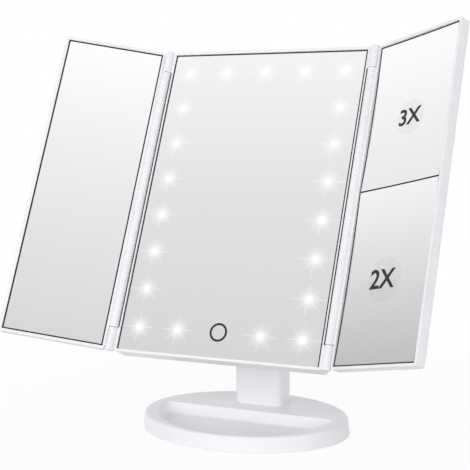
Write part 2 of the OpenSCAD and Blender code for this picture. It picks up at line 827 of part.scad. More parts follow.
// One lug: a straight-sided tongue with a round end and a flared root
module lug(side)
    translate([side * (lug_x + lug_t / 2), 0, pivot_rise])
        rotate([0, -90, 0])
            translate([0, 0, -lug_t / 2])
                linear_extrude(lug_t) {
                    root = back_y + bracket_t;
                    flare = lug_r + lug_flare;
                    translate([0, pivot_depth]) circle(lug_r);
                    translate([-lug_r, root - weld]) square([2 * lug_r, pivot_depth - root + weld]);
                    polygon([[-flare, root - weld], [flare, root - weld], [flare, root],
                        [lug_r, root + lug_flare], [-lug_r, root + lug_flare], [-flare, root]]);
                }

module tilt_axle() color(steel)
    in_panel()
        on_axle() {
            translate([0, 0, -axle_end]) cylinder(r = axle_r, h = 2 * axle_end + washer_t + nut_t + 1);
            translate([0, 0, -axle_end - axle_head_t]) cylinder(r = nut_r, h = axle_head_t);
        }

module tilt_nut() color(steel)
    in_panel()
        on_axle()
            translate([0, 0, axle_end + washer_t])
                difference() {
                    cylinder(r = nut_r, h = nut_t, $fn = 6);
                    translate([0, 0, -cut]) cylinder(r = axle_r + axle_seat, h = nut_t + 2 * cut);
                }

module friction_washers() color([0.55, 0.5, 0.4])
    in_panel()
        on_axle()
            for (z = [-lug_x, column_w / 2 + head_play, axle_end])
                translate([0, 0, z])
                    difference() {
                        cylinder(r = washer_r, h = washer_t);
                        translate([0, 0, -cut]) cylinder(r = axle_r + axle_seat, h = washer_t + 2 * cut);
                    }

module bracket_screws() color(steel)
    in_panel()
        for (x = [-1, 1], z = [-1, 1])
            translate([x * bracket_screw_x, back_y + bracket_t, pivot_rise + z * bracket_screw_z])
                rotate([-90, 0, 0])
                    screw(big_screw_r, big_head_r, big_head_t, bracket_screw_len);

// ---- Centre panel ----

module knuckle(side, end) {
    z = end * (panel_h - knuckle_len) / 2;
    translate([side * hinge_x, hinge_y, z]) barrel(barrel_r, knuckle_len);
    // web back to the frame, flush with its face
    translate([side * (frame_w / 2 - weld + hinge_x) / 2, (face_y + hinge_y + barrel_r) / 2, z])
        cube([hinge_x - frame_w / 2 + weld, hinge_y + barrel_r - face_y, knuckle_len - 2 * barrel_edge],
            center = true);
}

module centre_frame() color(plastic)
    in_panel()
        difference() {
            union() {
                difference() {
                    slab(face_y, split_y) rounded(frame_w, panel_h, corner_r);
                    slab(face_y - cut, ledge_y)
                        square([mirror_w + 2 * glass_gap, mirror_h + 2 * glass_gap], center = true);
                    // rebates for the soft strips
                    for (side = [-1, 1])
                        translate([side * (frame_w + cut - strip_w) / 2, 0, 0])
                            slab(face_y - cut, face_y + strip_t)
                                square([strip_w + cut, 2 * barrel_half], center = true);
                    slab(ledge_y - cut, ledge_back_y + cut)
                        rounded(mirror_w - 2 * ledge_w, mirror_h - 2 * ledge_w, ledge_corner);
                    slab(ledge_back_y, split_y + cut)
                        rounded(mirror_w + 2 * glass_gap, mirror_h + 2 * glass_gap, cavity_corner);
                    for (p = light_places)
                        bar_y(p[0], p[1], light_hole_d / 2, ledge_y - cut, ledge_back_y + cut);
                    bar_y(0, ring_z, touch_spring_r + spring_gap, ledge_y - cut, ledge_back_y + cut);
                }
                for (side = [-1, 1], end = [-1, 1])
                    knuckle(side, end);
                for (side = [-1, 1], z = back_screw_z)
                    bar_y(side * back_screw_x, z, boss_r, ledge_back_y - weld, cavity_back_y);
            }
            for (side = [-1, 1], end = [-1, 1])
                translate([side * hinge_x, hinge_y, end * panel_h / 2])
                    cylinder(r = pin_r + pin_seat, h = 2 * knuckle_len + 2 * cut, center = true);
            for (side = [-1, 1], z = back_screw_z)
                bar_y(side * back_screw_x, z, screw_r + screw_seat, cavity_back_y - panel_screw_len + tip,
                    cavity_back_y + cut);
        }

// Soft strips that the wings' barrels pass, flush with the frame's face
module barrel_strips() color([0.12, 0.12, 0.13])
    in_panel()
        for (side = [-1, 1])
            translate([side * (frame_w - strip_w) / 2, 0, 0])
                slab(face_y, face_y + strip_t) square([strip_w, 2 * barrel_half], center = true);

module centre_back() color(plastic)
    in_panel()
        difference() {
            union() {
                difference() {
                    chamfered(frame_w, panel_h, split_y, back_y);
                    slab(split_y - cut, cavity_back_y)
                        rounded(frame_w - 2 * back_wall, panel_h - 2 * back_wall, cavity_corner);
                }
                for (x = [-1, 1], z = [-1, 1])
                    bar_y(x * bracket_screw_x, pivot_rise + z * bracket_screw_z, big_boss_r,
                        cavity_back_y - bracket_boss_depth, cavity_back_y + weld);
            }
            for (x = [-1, 1], z = [-1, 1])
                bar_y(x * bracket_screw_x, pivot_rise + z * bracket_screw_z, big_screw_r + screw_seat,
                    cavity_back_y - bracket_boss_depth - cut, back_y + cut);
            for (side = [-1, 1], z = back_screw_z) {
                bar_y(side * back_screw_x, z, screw_r + screw_gap, cavity_back_y - cut, back_y + cut);
                bar_y(side * back_screw_x, z, head_r + screw_gap, back_y - head_t, back_y + cut);
            }
        }

module centre_screws() color(steel)
    in_panel()
        for (side = [-1, 1], z = back_screw_z)
            translate([side * back_screw_x, back_y - head_t, z])
                rotate([-90, 0, 0])
                    screw(screw_r, head_r, head_t, panel_screw_len - 1.5 * tip);

module centre_mirror() color(silvered)
    in_panel()
        difference() {
            slab(0, glass_t) square([mirror_w, mirror_h], center = true);
            // windows etched through the silvering on the back
            for (p = light_places)
                bar_y(p[0], p[1], window_d / 2, glass_t - etch_t, glass_t + cut);
            // touch ring sunk into the front
            translate([0, 0, ring_z])
                slab(-cut, etch_t)
                    difference() {
                        circle(d = ring_d);
                        circle(d = ring_d - 2 * ring_line);
                    }
        }

module centre_tape() color([0.85, 0.85, 0.82])
    in_panel() {
        for (side = [-1, 1])
            translate([side * (mirror_w / 2 - tape_inset - tape_w / 2), 0, 0])
                slab(glass_t, ledge_y) square([tape_w, mirror_h - 2 * tape_end], center = true);
        for (end = [-1, 1])
            translate([0, 0, end * (mirror_h / 2 - tape_inset - tape_w / 2)])
                slab(glass_t, ledge_y) square([mirror_w - 2 * tape_end, tape_w], center = true);
    }

module light_boards() color([0.95, 0.95, 0.9])
    in_panel() {
        column_h = light_top - light_bottom + board_w;
        top_w = 2 * light_x - board_w - 2 * board_gap;
        side_w = light_x - board_w / 2 - touch_board_w / 2 - 2 * board_gap;
        for (side = [-1, 1]) {
            translate([side * light_x, 0, (light_top + light_bottom) / 2])
                slab(ledge_back_y, ledge_back_y + board_t) square([board_w, column_h], center = true);
            translate([side * (touch_board_w / 2 + board_gap + side_w / 2), 0, light_bottom])
                slab(ledge_back_y, ledge_back_y + board_t) square([side_w, board_w], center = true);
        }
        translate([0, 0, light_top])
            slab(ledge_back_y, ledge_back_y + board_t) square([top_w, board_w], center = true);
    }

module lights() color([1, 1, 0.9])
    in_panel()
        for (p = light_places)
            translate([p[0], 0, p[1]])
                slab(ledge_back_y - light_t, ledge_back_y)
                    square([light_w, light_w * light_share], center = true);

module touch_board() color([0.12, 0.35, 0.22])
    in_panel()
        translate([0, 0, ring_z])
            slab(ledge_back_y, ledge_back_y + board_t) square([touch_board_w, touch_board_h], center = true);

module touch_spring() color(steel)
    in_panel()
        translate([0, 0, ring_z])
            slab(glass_t, ledge_back_y)
                difference() {
                    circle(touch_spring_r);
                    circle(touch_spring_r - spring_wire);
                }

module hinge_pins() color(steel)
    in_panel()
        for (side = [-1, 1], end = [-1, 1])
            translate([side * hinge_x, hinge_y, end * (barrel_half + knuckle_gap)])
                mirror([0, 0, end > 0 ? 0 : 1])
                    translate([0, 0, -pin_reach])
                        cylinder(r = pin_r, h = pin_reach + knuckle_len - pin_recess);

// ---- Wings ----

module wing_outline()
    translate([(wing_in + wing_out) / 2, 0])
        rounded(wing_out - wing_in, wing_h, corner_r);

module wing_pocket()
    translate([wing_mid, 0])
        square([wing_pocket_out - wing_pocket_in, wing_h - 2 * wing_end_wall], center = true);

module wing_frame()
    difference() {
        union() {
            difference() {
                slab(wing_face_y, wing_split_y) wing_outline();
                slab(wing_face_y - cut, wing_ledge_y) wing_pocket();
                slab(wing_ledge_y - cut, wing_split_y + cut)
                    translate([wing_mid, 0])
                        rounded(wing_glass_w - 2 * wing_ledge_w, wing_glass_h - 2 * wing_ledge_w,
                            ledge_corner);
                slab(wing_ledge_y + wing_ledge_t, wing_split_y + cut) wing_pocket();
            }
            barrel(barrel_r, 2 * barrel_half);
            // web from the barrel to the frame, flush with its face
            translate([0, wing_face_y, -barrel_half + barrel_edge])
                cube([wing_in + weld, barrel_r - wing_face_y, 2 * (barrel_half - barrel_edge)]);
        }
        for (end = [-1, 1])
            translate([0, 0, end * barrel_half])
                cylinder(r = pin_r + pin_play, h = 2 * (pin_reach + tip), center = true);
    }

module wing_back()
    difference() {
        translate([(wing_in + wing_out) / 2, 0, 0])
            chamfered(wing_out - wing_in, wing_h, wing_split_y, wing_back_y);
        slab(wing_split_y - cut, wing_back_y - wing_back_wall) wing_pocket();
    }

// Tape round one glass, from z0 up to z1
module wing_tape(z0, z1)
    translate([wing_mid, 0, (z0 + z1) / 2])
        slab(wing_glass_y + glass_t, wing_ledge_y)
            difference() {
                square([wing_glass_w - 2 * tape_inset, z1 - z0 - 2 * tape_inset], center = true);
                square([wing_glass_w, z1 - z0] - 2 * (tape_inset + wing_tape_w) * [1, 1], center = true);
            }

// A shallow bowl of spherical radius r in rings, flat at its middle, its rim level with the glass's front
module dish(r, rim) {
    rim_depth = sqrt(r * r - rim * rim);
    bowl = [for (i = [1 : dish_steps]) let (x = rim * i / dish_steps) [x, sqrt(r * r - x * x) - rim_depth]];
    rotate([-90, 0, 0])
        rotate_extrude($fn = 90)
            polygon(concat([[0, bowl[0][1]]], bowl, [[rim, -cut], [0, -cut]]));
}

// A wing's glass from z0 up to z1, flat or dished
module wing_glass(z0, z1, dish_r = 0) {
    half_w = wing_glass_w / 2;
    half_h = (z1 - z0) / 2;
    corner = sqrt(half_w * half_w + half_h * half_h);
    translate([wing_mid, wing_glass_y, (z0 + z1) / 2])
        difference() {
            slab(0, glass_t) square([2 * half_w, 2 * half_h], center = true);
            if (dish_r > 0)
                dish(dish_r, corner + dish_margin);
        }
}

module left_frame() color(plastic) in_wing(-1, left_fold) wing_frame();
module left_back() color(plastic) in_wing(-1, left_fold) wing_back();
module left_mirror() color(silvered)
    in_wing(-1, left_fold) wing_glass(-wing_glass_h / 2, wing_glass_h / 2);
module left_tape() color([0.85, 0.85, 0.82])
    in_wing(-1, left_fold) wing_tape(-wing_glass_h / 2, wing_glass_h / 2);
module right_frame() color(plastic) in_wing(1, right_fold) wing_frame();
module right_back() color(plastic) in_wing(1, right_fold) wing_back();
module strong_mirror() color(silvered)
    in_wing(1, right_fold) wing_glass(split_rise + split_gap / 2, wing_glass_h / 2, strong_dish_r);
module weak_mirror() color(silvered)
    in_wing(1, right_fold) wing_glass(-wing_glass_h / 2, split_rise - split_gap / 2, weak_dish_r);
module right_tape() color([0.85, 0.85, 0.82])
    in_wing(1, right_fold) {
        wing_tape(split_rise + split_gap / 2, wing_glass_h / 2);
        wing_tape(-wing_glass_h / 2, split_rise - split_gap / 2);
    }

base_shell();
base_lower_cover();
base_pad();
base_screws();
column_front();
column_rear();
column_screws();
column_rear_screws();
battery_cover();
battery_holder();
battery_cells();
battery_contacts();
charging_board();
charging_socket();
tilt_bracket();
tilt_axle();
tilt_nut();
friction_washers();
bracket_screws();
centre_frame();
barrel_strips();
centre_back();
centre_mirror();
centre_tape();
centre_screws();
light_boards();
lights();
touch_board();
touch_spring();
hinge_pins();
left_frame();
left_back();
left_mirror();
left_tape();
right_frame();
right_back();
strong_mirror();
weak_mirror();
right_tape();
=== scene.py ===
import math

import bmesh
import bpy
from mathutils import Matrix, Vector


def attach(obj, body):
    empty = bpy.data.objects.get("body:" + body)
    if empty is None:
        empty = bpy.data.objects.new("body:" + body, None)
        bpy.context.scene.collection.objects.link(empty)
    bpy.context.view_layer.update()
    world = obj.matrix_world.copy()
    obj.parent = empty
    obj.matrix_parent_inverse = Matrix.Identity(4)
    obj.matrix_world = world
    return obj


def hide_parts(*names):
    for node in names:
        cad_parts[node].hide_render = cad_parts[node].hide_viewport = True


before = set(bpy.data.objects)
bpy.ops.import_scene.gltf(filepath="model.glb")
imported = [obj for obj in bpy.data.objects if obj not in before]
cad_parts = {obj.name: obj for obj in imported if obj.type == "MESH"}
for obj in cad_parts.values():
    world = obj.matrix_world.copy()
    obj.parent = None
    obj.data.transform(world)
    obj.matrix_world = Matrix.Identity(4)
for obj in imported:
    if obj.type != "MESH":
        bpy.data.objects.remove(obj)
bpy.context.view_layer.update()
print("frame loaded:", len(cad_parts), "nodes")

mm = 0.001


def srgb(code):
    channels = [int(code[i:i + 2], 16) / 255 for i in (1, 3, 5)]
    return [c / 12.92 if c <= 0.04045 else ((c + 0.055) / 1.055) ** 2.4 for c in channels] + [1.0]


def addNode(tree, kind, sockets=None, stops=(), **settings):
    # a socket's value is a number, a colour or another node's output; a ramp's stops are places and colours
    made = tree.nodes.new(kind)
    for key, value in settings.items():
        setattr(made, key, value)
    for key, value in (sockets or {}).items():
        if isinstance(value, bpy.types.NodeSocket):
            tree.links.new(value, made.inputs[key])
        else:
            made.inputs[key].default_value = value
    for place, code in stops[2:]:
        made.color_ramp.elements.new(place)
    for i, (place, code) in enumerate(stops):
        made.color_ramp.elements[i].position = place
        made.color_ramp.elements[i].color = srgb(code)
    return made


def newMaterial(name):
    material = bpy.data.materials.new(name)
    material.use_nodes = True
    material.node_tree.nodes.clear()
    return material, material.node_tree


def finishMaterial(tree, shader):
    addNode(tree, "ShaderNodeOutputMaterial", {"Surface": shader.outputs[0]})


# where the panels stand, in mm and degrees, as the solids do
stand = {"lean": 25.85, "columnY": 33.8, "pivotZ": 169.6, "pivotDepth": 30.0, "pivotRise": 11.2,
         "hingeX": 85.5, "hingeY": -1.0, "leftFold": 24.5, "rightFold": 29.0}

panelPlace = (Matrix.Translation((0, stand["columnY"] * mm, stand["pivotZ"] * mm))
              @ Matrix.Rotation(math.radians(-stand["lean"]), 4, "X")
              @ Matrix.Translation((0, -stand["pivotDepth"] * mm, -stand["pivotRise"] * mm)))
panelUp = (panelPlace.to_3x3() @ Vector((0, 0, 1))).normalized()


def wingPlace(side):
    # the wings share the panel's up direction; +X runs from the hinge to the wing's outer edge on both
    fold = stand["rightFold"] if side > 0 else stand["leftFold"]
    return (panelPlace @ Matrix.Diagonal((side, 1, 1, 1))
            @ Matrix.Translation((stand["hingeX"] * mm, stand["hingeY"] * mm, 0))
            @ Matrix.Rotation(math.radians(-fold), 4, "Z"))


leftPlace, rightPlace = wingPlace(-1), wingPlace(1)
print("places set")


# the four glasses, in mm: x and z are a glass's middle in its panel, frontY its face, dishR the radius of
# its dish, or 0 where it is flat. Where only a hairline shows, the dark rim of seal paint and painted seam
# shade is just thinSealAndShade wide: at the head of the glass with thinSide +1, or at its foot with -1
wing = {"glassX": 43.75, "glassW": 76.0, "halfH": 118.9, "glassY": 1.0, "split": 6.3, "splitGap": 0.7}
splitTop = wing["split"] + wing["splitGap"] / 2
splitFoot = wing["split"] - wing["splitGap"] / 2
wingGlass = {"width": wing["glassW"], "x": wing["glassX"], "frontY": wing["glassY"]}
glasses = {
    "centre": {"width": 159.5, "height": 239.0, "x": 0, "z": 0, "frontY": 0, "dishR": 0,
               "thinSide": -1, "thinSealAndShade": 0.05},
    "left": {**wingGlass, "height": 2 * wing["halfH"], "z": 0, "dishR": 0, "thinSide": 0, "thinSealAndShade": 0},
    "strong": {**wingGlass, "height": wing["halfH"] - splitTop, "z": (wing["halfH"] + splitTop) / 2,
               "dishR": 1500.0, "thinSide": -1, "thinSealAndShade": 0.25},
    "weak": {**wingGlass, "height": wing["halfH"] + splitFoot, "z": (splitFoot - wing["halfH"]) / 2,
             "dishR": 2200.0, "thinSide": 1, "thinSealAndShade": 0.25}}

# the looks of the white ABS, the silvering and the small parts. In mm: the flow marks, sheen patches and
# sink marks across, the waves' depth, the radius that the mould leaves on every edge, and the wiping haze
moulded = {"flow": 22, "patch": 6, "sink": 3.2, "waveDeep": 0.03, "edgeR": 0.35, "waveShare": 0.12,
           "roughLow": 0.30, "roughHigh": 0.39, "ior": 1.53}
silvered = {"haze": 30, "roughLow": 0.012, "roughHigh": 0.035}
plain = {"reliefShare": 0.4, "ior": 1.5}


def makeWhiteAbs():
    # injection-moulded ABS, cool white: the mould's polish gives it a soft, satin sheen, and the wall keeps
    # a faint waviness that only shows in the highlights
    material, tree = newMaterial("moulded gloss ABS, cool white")
    spot = addNode(tree, "ShaderNodeTexCoord").outputs["Object"]
    flow = addNode(tree, "ShaderNodeTexNoise",
                   {"Vector": spot, "Scale": 1 / (moulded["flow"] * mm), "Detail": 3.0})
    tone = addNode(tree, "ShaderNodeValToRGB", {"Fac": flow.outputs[0]},
                   stops=[(0.35, "#EFEEF3"), (0.65, "#F2F1F5")])
    patch = addNode(tree, "ShaderNodeTexNoise",
                    {"Vector": spot, "Scale": 1 / (moulded["patch"] * mm), "Detail": 3.0})
    rough = addNode(tree, "ShaderNodeMapRange",
                    {"Value": patch.outputs[0],
                     "To Min": moulded["roughLow"], "To Max": moulded["roughHigh"]})
    sink = addNode(tree, "ShaderNodeTexNoise",
                   {"Vector": spot, "Scale": 1 / (moulded["sink"] * mm), "Detail": 1.0})
    rounded = addNode(tree, "ShaderNodeBevel", {"Radius": moulded["edgeR"] * mm}, samples=4)
    wave = addNode(tree, "ShaderNodeBump",
                   {"Strength": moulded["waveShare"], "Distance": moulded["waveDeep"] * mm,
                    "Height": sink.outputs[0], "Normal": rounded.outputs[0]})
    shader = addNode(tree, "ShaderNodeBsdfPrincipled",
                     {"Base Color": tone.outputs[0], "Roughness": rough.outputs[0], "IOR": moulded["ior"],
                      "Normal": wave.outputs[0]})
    finishMaterial(tree, shader)
    return material


def panelHeight(z):
    # a height up the panels, in mm, as a distance along their up direction, in metres
    return (panelPlace @ Vector((0, 0, z * mm))).dot(panelUp)


def makeSilverWithPaintedFalloff(name, size, stops):
    # float glass silvered on its back: a clean mirror with the faintest wiping haze. The glass's own tint
    # sets its grey, and painted shade in the reflectance, paler at the head of the glass than at its foot,
    # stands in for the studio's fall-off
    material, tree = newMaterial(name)
    spot = addNode(tree, "ShaderNodeTexCoord").outputs["Object"]
    height = addNode(tree, "ShaderNodeVectorMath", {0: spot, 1: panelUp}, operation="DOT_PRODUCT")
    share = addNode(tree, "ShaderNodeMapRange",
                    {"Value": height.outputs["Value"],
                     "From Min": panelHeight(size["z"] - size["height"] / 2),
                     "From Max": panelHeight(size["z"] + size["height"] / 2)})
    tone = addNode(tree, "ShaderNodeValToRGB", {"Fac": share.outputs[0]}, stops=stops)
    haze = addNode(tree, "ShaderNodeTexNoise",
                   {"Vector": spot, "Scale": 1 / (silvered["haze"] * mm), "Detail": 4.0})
    rough = addNode(tree, "ShaderNodeMapRange",
                    {"Value": haze.outputs[0],
                     "To Min": silvered["roughLow"], "To Max": silvered["roughHigh"]})
    shader = addNode(tree, "ShaderNodeBsdfPrincipled",
                     {"Base Color": tone.outputs[0], "Roughness": rough.outputs[0], "Metallic": 1.0})
    finishMaterial(tree, shader)
    return material


def makePlain(name, pale, deep, grain, rough, metallic=0.0, bump=0.0):
    # shared set-up for the small parts: two close tones in a grain of the real size, and a varied gloss.
    # grain and bump are in mm, and rough is the lowest and the highest roughness
    material, tree = newMaterial(name)
    spot = addNode(tree, "ShaderNodeTexCoord").outputs["Object"]
    speck = addNode(tree, "ShaderNodeTexNoise",
                    {"Vector": spot, "Scale": 1 / (grain * mm), "Detail": 3.0}).outputs[0]
    tone = addNode(tree, "ShaderNodeValToRGB", {"Fac": speck}, stops=[(0.3, deep), (0.7, pale)])
    gloss = addNode(tree, "ShaderNodeMapRange", {"Value": speck, "To Min": rough[0], "To Max": rough[1]})
    sockets = {"Base Color": tone.outputs[0], "Roughness": gloss.outputs[0], "Metallic": metallic,
               "IOR": plain["ior"]}
    if bump:
        relief = addNode(tree, "ShaderNodeBump",
                         {"Strength": plain["reliefShare"], "Distance": bump * mm, "Height": speck})
        sockets["Normal"] = relief.outputs[0]
    finishMaterial(tree, addNode(tree, "ShaderNodeBsdfPrincipled", sockets))
    return material


whiteAbs = makeWhiteAbs()
# each glass's stops run from its foot to its head: painted shade, standing in for the studio's fall-off in
# the reflection
silverCentre = makeSilverWithPaintedFalloff("silvered float glass, painted fall-off, centre", glasses["centre"],
                          [(0, "#D6D6D6"), (0.5, "#E2E2E2"), (1, "#F4F4F4")])
silverLeft = makeSilverWithPaintedFalloff("silvered float glass, painted fall-off, left", glasses["left"],
                        [(0, "#D8D8D8"), (0.5, "#EAEAEA"), (1, "#FEFEFE")])
silverStrong = makeSilverWithPaintedFalloff("silvered dished glass, painted fall-off, upper", glasses["strong"],
                          [(0, "#E9E9E9"), (1, "#FCFCFC")])
silverWeak = makeSilverWithPaintedFalloff("silvered dished glass, painted fall-off, lower", glasses["weak"],
                        [(0, "#BFBFBF"), (1, "#F3F3F3")])
# brushed on round the silvering, the glass's sides and its back, and seen through the glass. On the front's
# rim its thin, even dark line is also painted shade, standing in for the shadow in the seam between glass and
# frame
sealPaintAndSeamShade = makePlain("edge seal paint and painted seam shade", "#1E1E20", "#17171A", grain=2, rough=(0.35, 0.5))
# screen-printed: satin, with the ink's small unevenness
blackInk = makePlain("printed black ink", "#121214", "#0B0B0C", grain=1.5, rough=(0.4, 0.55))
# from a finely textured mould, so it has no sharp highlight
blackAbs = makePlain("moulded matt ABS, black", "#232325", "#1B1B1D", grain=1.2, rough=(0.5, 0.65), bump=0.01)
# pressed and cured in a plain mould: dull and faintly grained
rubber = makePlain("moulded soft rubber, grey", "#4A4A4E", "#3E3E42", grain=1, rough=(0.7, 0.85), bump=0.02)
# drawn through a die and left as it came, so it reads as one dull dark line. On the strips beside the hinge
# barrels it is also painted shade, standing in for the shadow in the gap there
stripRubberGapShade = makePlain("extruded soft rubber, black, painted gap shade", "#1C1C1E", "#151517", grain=0.8, rough=(0.55, 0.7),
                        bump=0.01)
# plated in a tumbling barrel: pale, a little cloudy, with soft highlights
zincSteel = makePlain("zinc-plated steel", "#D6D9DC", "#C2C6CA", grain=1, rough=(0.25, 0.4), metallic=1.0,
                      bump=0.004)
# pressed from tinned sheet, so smoother and brighter than the zinc
socketSteel = makePlain("tin-plated pressed steel", "#DADCDE", "#CBCDD0", grain=0.8, rough=(0.2, 0.32),
                        metallic=1.0)
# punched from rolled strip: warm, with the roll's fine dullness
bronze = makePlain("phosphor bronze strip", "#C79C62", "#B4874F", grain=0.8, rough=(0.28, 0.4), metallic=1.0,
                   bump=0.004)
# printed film shrunk round the cell: smooth and softly glossy
cellFilm = makePlain("printed shrink film, green", "#3C7A56", "#2F6B49", grain=4, rough=(0.3, 0.42))
# lacquer cured over copper and glass fibre: a half gloss with a slight weave; the white one throws light back
maskGreen = makePlain("solder mask, green", "#1D5C3B", "#174C31", grain=2, rough=(0.35, 0.5), bump=0.005)
maskWhite = makePlain("solder mask, white", "#F2F2EC", "#E8E8E0", grain=2, rough=(0.35, 0.5), bump=0.005)
# foamed and cut, so its open cells leave it dead matt
foam = makePlain("foam tape", "#DEDED8", "#D2D2CB", grain=0.6, rough=(0.8, 0.95), bump=0.05)
# phosphor cast in resin over the chip, pale yellow between matt and gloss
phosphor = makePlain("yellow phosphor dome", "#F6F0C8", "#EEE5B2", grain=0.6, rough=(0.4, 0.55))

# the white mouldings of each body
mouldings = {
    "base": ["base_shell", "base_lower_cover", "column_front", "column_rear"],
    "battery_cover": ["battery_cover"],
    "centre_panel": ["tilt_bracket", "centre_frame", "centre_back"],
    "left_wing": ["left_frame", "left_back"],
    "right_wing": ["right_frame", "right_back"]}

nodeMaterial = {
    blackAbs: ["battery_holder"],
    rubber: ["base_pad"],
    stripRubberGapShade: ["barrel_strips"],
    socketSteel: ["charging_socket"],
    bronze: ["friction_washers"],
    cellFilm: ["battery_cells"],
    maskGreen: ["charging_board", "touch_board"],
    maskWhite: ["light_boards"],
    phosphor: ["lights"],
    foam: ["centre_tape", "left_tape", "right_tape"],
    zincSteel: ["base_screws", "column_screws", "column_rear_screws", "tilt_axle", "tilt_nut",
                "bracket_screws", "centre_screws", "hinge_pins", "touch_spring", "battery_contacts"],
    whiteAbs: sum(mouldings.values(), [])}
for material, names in nodeMaterial.items():
    for name in names:
        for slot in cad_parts[name].material_slots:
            slot.material = material
print("materials set")


def newPiece(name, bm, materials, body):
    mesh = bpy.data.meshes.new(name)
    bm.to_mesh(mesh)
    bm.free()
    for material in materials:
        mesh.materials.append(material)
    piece = bpy.data.objects.new(name, mesh)
    bpy.context.scene.collection.objects.link(piece)
    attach(piece, body)
    return piece


def keepSharp(bm, angle):
    # edges shade smoothly, apart from open ones and those that turn by at least this many degrees
    for edge in bm.edges:
        edge.smooth = len(edge.link_faces) == 2 and edge.calc_face_angle() < math.radians(angle)


# a glass: a front with a fine dark rim of seal paint and painted seam shade, square sides and a painted back,
# in mm and degrees. onLine is how near a corner counts as on the rim's inner line
glass = {"thick": 3.0, "seal": 1.05, "cell": 3.0, "dishMargin": 1.5, "onLine": 0.001, "sharp": 20}


def dishDepth(size, x, y):
    # how deep a dished glass is at x, y from its middle, in mm
    rim = math.hypot(size["width"] / 2, size["height"] / 2) + glass["dishMargin"]
    return math.sqrt(size["dishR"] ** 2 - x ** 2 - y ** 2) - math.sqrt(size["dishR"] ** 2 - rim ** 2)


def makeGlass(name, size, place, silver, body, node):
    width, height = size["width"], size["height"]
    cells = (round(width / glass["cell"]), round(height / glass["cell"])) if size["dishR"] else (1, 1)
    bm = bmesh.new()
    bmesh.ops.create_grid(bm, x_segments=cells[0], y_segments=cells[1], size=0.5)
    bmesh.ops.scale(bm, vec=(width, height, 1), verts=bm.verts)
    bmesh.ops.inset_region(bm, faces=bm.faces[:], thickness=glass["seal"], use_boundary=True,
                           use_even_offset=True)
    clearX, clearY = width / 2 - glass["seal"], height / 2 - glass["seal"]
    # the front's outer rim takes the dark paint: painted shade for the seam between glass and frame
    for face in bm.faces:
        middle = face.calc_center_median()
        face.material_index = 0 if abs(middle.x) < clearX and abs(middle.y) < clearY else 1
        face.smooth = True
    for vert in bm.verts:
        if abs(vert.co.y * size["thinSide"] - clearY) < glass["onLine"]:
            vert.co.y = size["thinSide"] * (height / 2 - size["thinSealAndShade"])
        if size["dishR"]:
            vert.co.z = -dishDepth(size, vert.co.x, vert.co.y)
    border = [edge for edge in bm.edges if edge.is_boundary]
    walls = bmesh.ops.extrude_edge_only(bm, edges=border)["geom"]
    for item in walls:
        if isinstance(item, bmesh.types.BMVert):
            item.co.z = -glass["thick"]
        elif isinstance(item, bmesh.types.BMFace):
            item.material_index = 1
    back = bmesh.ops.holes_fill(bm, edges=[edge for edge in bm.edges if edge.is_boundary], sides=0)["faces"]
    for face in back:
        face.material_index = 1
    keepSharp(bm, glass["sharp"])
    # the grid lies in X and Y facing +Z: turned to face -Y, then put in its panel
    turned = (Matrix.Translation((size["x"], size["frontY"], size["z"]))
              @ Matrix.Rotation(math.radians(90), 4, "X"))
    bmesh.ops.transform(bm, matrix=place @ Matrix.Scale(mm, 4) @ turned, verts=bm.verts)
    bmesh.ops.recalc_face_normals(bm, faces=bm.faces)
    piece = newPiece(name, bm, [silver, sealPaintAndSeamShade], body)
    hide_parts(node)


makeGlass("centre_glass", glasses["centre"], panelPlace, silverCentre, "centre_panel", "centre_mirror")
makeGlass("left_glass", glasses["left"], leftPlace, silverLeft, "left_wing", "left_mirror")
makeGlass("strong_glass", glasses["strong"], rightPlace, silverStrong, "right_wing", "strong_mirror")
makeGlass("weak_glass", glasses["weak"], rightPlace, silverWeak, "right_wing", "weak_mirror")
print("glasses made")


# how near two corners of a moulding's mesh are joined, in mm, and the angle from which its edges stay sharp
smoothing = {"join": 0.002, "sharp": 25, "ovalSharp": 35, "ovals": ("base_shell", "base_lower_cover")}


def smoothCopy(node, body):
    # a moulding's own mesh with its loose triangles joined, so that its curves shade smoothly
    bm = bmesh.new()
    bm.from_mesh(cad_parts[node].data)
    bmesh.ops.remove_doubles(bm, verts=bm.verts, dist=smoothing["join"] * mm)
    for face in bm.faces:
        face.smooth = True
        face.material_index = 0
    keepSharp(bm, smoothing["ovalSharp"] if node in smoothing["ovals"] else smoothing["sharp"])
    piece = newPiece(node + "_smooth", bm, [whiteAbs], body)
    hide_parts(node)


for body, names in mouldings.items():
    for name in names:
        smoothCopy(name, body)
print("mouldings smoothed")


# the lit windows, each with a painted glare of its light round it: places and sizes in mm, and the halo's and
# the rays' sizes as shares of glareR. The two fades are powers
lit = {"x": 64.7, "top": 103.1, "foot": -101.8, "perColumn": 8, "footX": 32.9, "windowD": 3.4,
       "glareR": 14.8, "proud": 0.04, "windowSides": 32, "glareSides": 40,
       "etchMm": 0.8, "powerLow": 1.3, "powerHigh": 1.7,
       "haloCore": 0.135, "haloEnd": 0.78, "haloFade": 2.6,
       "rayW": 0.06, "tipW": 0.035, "rayFade": 0.6, "rayGain": 0.8,
       # each ray's turn up from level, in degrees, and its reach; they come in pairs, left and right
       "rays": [(0, 1.0), (20, 0.6), (42, 0.78), (64, 0.6), (-20, 0.62), (-43, 0.85), (-67, 0.6)],
       "loneRays": [(92, 0.85), (-98, 0.98)]}
pitch = (lit["top"] - lit["foot"]) / (lit["perColumn"] - 1)
lightSpots = [(side * lit["x"], lit["top"] - i * pitch) for side in (-1, 1) for i in range(lit["perColumn"])]
lightSpots += [(i * lit["x"] / 2, lit["top"]) for i in (-1, 0, 1)]
lightSpots += [(side * lit["footX"], lit["foot"]) for side in (-1, 1)]


def facePlace(place, x, y, z):
    # a spot on a panel's front, with local Z standing out of it towards the viewer
    return (place @ Matrix.Scale(mm, 4) @ Matrix.Translation((x, y, z))
            @ Matrix.Rotation(math.radians(90), 4, "X"))


